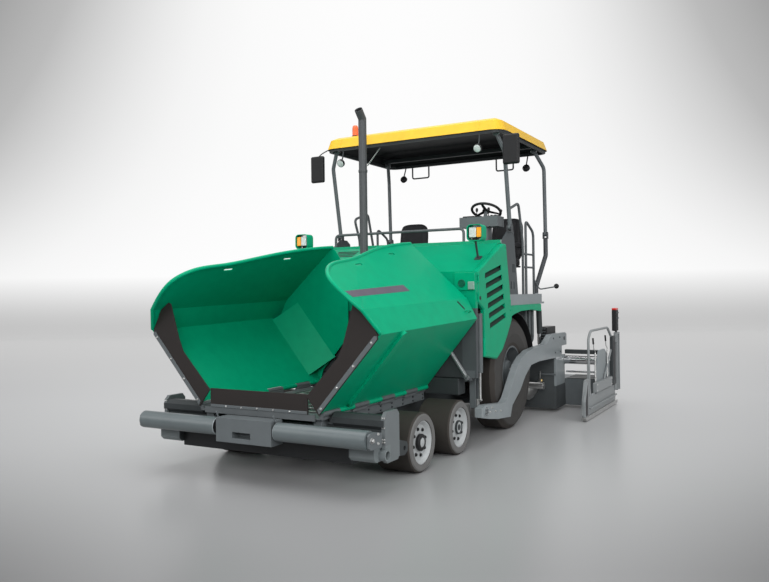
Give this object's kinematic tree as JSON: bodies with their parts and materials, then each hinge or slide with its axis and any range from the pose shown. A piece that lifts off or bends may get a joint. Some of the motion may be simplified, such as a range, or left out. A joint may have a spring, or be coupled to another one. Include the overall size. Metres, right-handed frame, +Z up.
{
  "type": "wheeled asphalt paver",
  "caption": "Wheeled asphalt paver with folding hopper wings, chain conveyors, augers, tow arms, an extending screed, louvred engine doors and a folding canopy.",
  "frame": {"origin": "bottom centre of the whole machine's bounding box, on the ground between the wheels", "axes": "+Z up, -Y to the front (push rollers), +Y to the rear (screed), +X to the machine's left side"},
  "size_m": [3.7, 6.43, 3.9434],
  "materials": {
    "bare_steel": "ground steel",
    "black_plastic": "matt black plastic",
    "cast_parts": "painted casting",
    "chrome_rod": "hard chrome",
    "dark_grey_paint": "satin dark grey paint",
    "green_paint": "semi-gloss green paint",
    "light_grey_paint": "satin light grey paint",
    "rubber_sheet": "matt black rubber",
    "seat_cover": "black synthetic leather",
    "tyre_rubber": "solid tyre rubber",
    "yellow_paint": "semi-gloss yellow paint"
  },
  "bodies": {
    "chassis": {"chassis_frame": "dark_grey_paint", "front_axles": "cast_parts", "hopper_base": "green_paint", "front_flap": "rubber_sheet", "bonnet": "green_paint", "engine_block": "cast_parts", "exhaust_stack": "bare_steel", "platform": "light_grey_paint", "guard_rails": "light_grey_paint", "console": "dark_grey_paint", "seats": "seat_cover", "headlamps": "green_paint", "rear_fenders": "green_paint", "rear_drives": "cast_parts", "tow_guides": "dark_grey_paint", "conveyor_chains": "bare_steel"},
    "wing_left": {"wing_left": "green_paint", "wing_flap_left": "rubber_sheet"},
    "wing_cylinder_left": {"wing_cylinder_left": "dark_grey_paint"},
    "wing_rod_left": {"wing_rod_left": "chrome_rod"},
    "wing_right": {"wing_right": "green_paint", "wing_flap_right": "rubber_sheet"},
    "wing_cylinder_right": {"wing_cylinder_right": "dark_grey_paint"},
    "wing_rod_right": {"wing_rod_right": "chrome_rod"},
    "knuckle_1_left": {"knuckle_1_left": "cast_parts"},
    "front_wheel_1_left": {"front_rim_1_left": "light_grey_paint", "front_tyre_1_left": "tyre_rubber"},
    "knuckle_1_right": {"knuckle_1_right": "cast_parts"},
    "front_wheel_1_right": {"front_rim_1_right": "light_grey_paint", "front_tyre_1_right": "tyre_rubber"},
    "knuckle_2_left": {"knuckle_2_left": "cast_parts"},
    "front_wheel_2_left": {"front_rim_2_left": "light_grey_paint", "front_tyre_2_left": "tyre_rubber"},
    "knuckle_2_right": {"knuckle_2_right": "cast_parts"},
    "front_wheel_2_right": {"front_rim_2_right": "light_grey_paint", "front_tyre_2_right": "tyre_rubber"},
    "rear_wheel_left": {"rear_rim_left": "light_grey_paint", "rear_tyre_left": "tyre_rubber"},
    "rear_wheel_right": {"rear_rim_right": "light_grey_paint", "rear_tyre_right": "tyre_rubber"},
    "push_bar": {"push_bar": "dark_grey_paint"},
    "push_roller_left": {"push_roller_left": "bare_steel"},
    "push_roller_right": {"push_roller_right": "bare_steel"},
    "steering_wheel": {"steering_wheel": "black_plastic"},
    "side_door_left": {"side_door_left": "green_paint"},
    "side_door_right": {"side_door_right": "green_paint"},
    "tow_sliders": {"tow_sliders": "bare_steel"},
    "screed": {"tow_arms": "yellow_paint", "screed_main": "green_paint"},
    "screed_lift_barrels": {"screed_lift_barrels": "dark_grey_paint"},
    "screed_lift_rods": {"screed_lift_rods": "chrome_rod"},
    "screed_extension_left": {"screed_extension_left": "yellow_paint", "end_gate_left": "yellow_paint"},
    "screed_extension_right": {"screed_extension_right": "yellow_paint", "end_gate_right": "yellow_paint"},
    "auger_left": {"auger_left": "bare_steel"},
    "auger_right": {"auger_right": "bare_steel"},
    "canopy_front_posts": {"canopy_front_posts": "light_grey_paint"},
    "canopy_rear_posts": {"canopy_rear_posts": "light_grey_paint"},
    "canopy": {"canopy": "yellow_paint"}
  },
  "joints": [
    {"name": "wing_fold_left", "type": "hinge", "parent": "chassis", "child": "wing_left", "pos_m": [0.69, -1.995, 0.65], "axis": [0, 1, 0], "range_deg": [0, 36]},
    {"name": "wing_cylinder_swing_left", "type": "hinge", "parent": "chassis", "child": "wing_cylinder_left", "pos_m": [1.15, -0.927, 0.765], "axis": [0, 1, 0], "range_deg": [0, 34.86]},
    {"name": "wing_rod_slide_left", "type": "slide", "parent": "wing_cylinder_left", "child": "wing_rod_left", "axis": [-0.5644, 0, 0.8255], "range_m": [-0.2946, 0]},
    {"name": "wing_fold_right", "type": "hinge", "parent": "chassis", "child": "wing_right", "pos_m": [-0.69, -1.995, 0.65], "axis": [0, -1, 0], "range_deg": [0, 36]},
    {"name": "wing_cylinder_swing_right", "type": "hinge", "parent": "chassis", "child": "wing_cylinder_right", "pos_m": [-1.15, -0.927, 0.765], "axis": [0, -1, 0], "range_deg": [0, 34.86]},
    {"name": "wing_rod_slide_right", "type": "slide", "parent": "wing_cylinder_right", "child": "wing_rod_right", "axis": [0.5644, 0, 0.8255], "range_m": [-0.2946, 0]},
    {"name": "steering_1_left", "type": "hinge", "parent": "chassis", "child": "knuckle_1_left", "pos_m": [0.7, -2.028, 0.28], "axis": [0, 0, 1], "range_deg": [-25, 25]},
    {"name": "front_wheel_spin_1_left", "type": "hinge", "parent": "knuckle_1_left", "child": "front_wheel_1_left", "pos_m": [0.978, -2.028, 0.28], "axis": [1, 0, 0], "continuous": true},
    {"name": "steering_1_right", "type": "hinge", "parent": "chassis", "child": "knuckle_1_right", "pos_m": [-0.7, -2.028, 0.28], "axis": [0, 0, 1], "range_deg": [-25, 25]},
    {"name": "front_wheel_spin_1_right", "type": "hinge", "parent": "knuckle_1_right", "child": "front_wheel_1_right", "pos_m": [-0.978, -2.028, 0.28], "axis": [1, 0, 0], "continuous": true},
    {"name": "steering_2_left", "type": "hinge", "parent": "chassis", "child": "knuckle_2_left", "pos_m": [0.7, -1.161, 0.28], "axis": [0, 0, 1], "range_deg": [-25, 25]},
    {"name": "front_wheel_spin_2_left", "type": "hinge", "parent": "knuckle_2_left", "child": "front_wheel_2_left", "pos_m": [0.978, -1.161, 0.28], "axis": [1, 0, 0], "continuous": true},
    {"name": "steering_2_right", "type": "hinge", "parent": "chassis", "child": "knuckle_2_right", "pos_m": [-0.7, -1.161, 0.28], "axis": [0, 0, 1], "range_deg": [-25, 25]},
    {"name": "front_wheel_spin_2_right", "type": "hinge", "parent": "knuckle_2_right", "child": "front_wheel_2_right", "pos_m": [-0.978, -1.161, 0.28], "axis": [1, 0, 0], "continuous": true},
    {"name": "rear_wheel_spin_left", "type": "hinge", "parent": "chassis", "child": "rear_wheel_left", "pos_m": [0.9845, 0.485, 0.676], "axis": [1, 0, 0], "continuous": true},
    {"name": "rear_wheel_spin_right", "type": "hinge", "parent": "chassis", "child": "rear_wheel_right", "pos_m": [-0.9845, 0.485, 0.676], "axis": [1, 0, 0], "continuous": true},
    {"name": "push_bar_swing", "type": "hinge", "parent": "chassis", "child": "push_bar", "pos_m": [0, -2.92, 0.4875], "axis": [0, 0, 1], "range_deg": [-3, 3]},
    {"name": "push_roller_spin_left", "type": "hinge", "parent": "push_bar", "child": "push_roller_left", "pos_m": [0.791, -3.135, 0.5], "axis": [1, 0, 0], "continuous": true},
    {"name": "push_roller_spin_right", "type": "hinge", "parent": "push_bar", "child": "push_roller_right", "pos_m": [-0.791, -3.135, 0.5], "axis": [1, 0, 0], "continuous": true},
    {"name": "steering_wheel_turn", "type": "hinge", "parent": "chassis", "child": "steering_wheel", "pos_m": [0.9, 0.317, 2.652], "axis": [0, 0.4472, 0.8944], "continuous": true},
    {"name": "side_door_hinge_left", "type": "hinge", "parent": "chassis", "child": "side_door_left", "pos_m": [1.256, -0.834, 1.6], "axis": [0, 0, -1], "range_deg": [0, 95]},
    {"name": "side_door_hinge_right", "type": "hinge", "parent": "chassis", "child": "side_door_right", "pos_m": [-1.256, -0.834, 1.6], "axis": [0, 0, 1], "range_deg": [0, 95]},
    {"name": "tow_point_slide", "type": "slide", "parent": "chassis", "child": "tow_sliders", "axis": [0, 0, 1], "range_m": [0, 0.1]},
    {"name": "screed_lift", "type": "hinge", "parent": "tow_sliders", "child": "screed", "pos_m": [0, -0.715, 0.385], "axis": [1, 0, 0], "range_deg": [0, 6]},
    {"name": "lift_cylinder_swing", "type": "hinge", "parent": "chassis", "child": "screed_lift_barrels", "pos_m": [0, 1.625, 1.46], "axis": [1, 0, 0], "range_deg": [-5.01, 0]},
    {"name": "lift_rod_slide", "type": "slide", "parent": "screed_lift_barrels", "child": "screed_lift_rods", "axis": [0, 0.0905, -0.9959], "range_m": [-0.2533, 0]},
    {"name": "screed_extension_slide_left", "type": "slide", "parent": "screed", "child": "screed_extension_left", "axis": [1, 0, 0], "range_m": [-0.48, 0.69]},
    {"name": "screed_extension_slide_right", "type": "slide", "parent": "screed", "child": "screed_extension_right", "axis": [-1, 0, 0], "range_m": [-0.48, 0.69]},
    {"name": "auger_turn_left", "type": "hinge", "parent": "chassis", "child": "auger_left", "pos_m": [0.6, 1.625, 0.385], "axis": [1, 0, 0], "continuous": true},
    {"name": "auger_turn_right", "type": "hinge", "parent": "chassis", "child": "auger_right", "pos_m": [-0.6, 1.625, 0.385], "axis": [1, 0, 0], "continuous": true},
    {"name": "canopy_fold", "type": "hinge", "parent": "chassis", "child": "canopy_rear_posts", "pos_m": [0, 1.715, 2.44], "axis": [-1, 0, 0], "range_deg": [0, 65]},
    {"name": "canopy_front_post_fold", "type": "hinge", "parent": "chassis", "child": "canopy_front_posts", "pos_m": [0, 0.315, 2.44], "axis": [-1, 0, 0], "range_deg": [0, 65]},
    {"name": "canopy_level", "type": "hinge", "parent": "canopy_rear_posts", "child": "canopy", "pos_m": [0, 1.515, 3.545], "axis": [-1, 0, 0], "range_deg": [-65, 0]}
  ],
  "couplings": [
    {"joint": "wing_cylinder_swing_left", "follows": "wing_fold_left", "ratio": 0.9545},
    {"joint": "wing_rod_slide_left", "follows": "wing_fold_left", "m_per_rad": -0.46574},
    {"joint": "wing_cylinder_swing_right", "follows": "wing_fold_right", "ratio": 0.9545},
    {"joint": "wing_rod_slide_right", "follows": "wing_fold_right", "m_per_rad": -0.46574},
    {"joint": "steering_1_right", "follows": "steering_1_left", "ratio": 1},
    {"joint": "steering_2_left", "follows": "steering_1_left", "ratio": 1},
    {"joint": "steering_2_right", "follows": "steering_1_left", "ratio": 1},
    {"joint": "lift_cylinder_swing", "follows": "screed_lift", "ratio": -0.7851},
    {"joint": "lift_rod_slide", "follows": "screed_lift", "m_per_rad": -2.3998},
    {"joint": "canopy_front_post_fold", "follows": "canopy_fold", "ratio": 1},
    {"joint": "canopy_level", "follows": "canopy_fold", "ratio": -1}
  ]
}
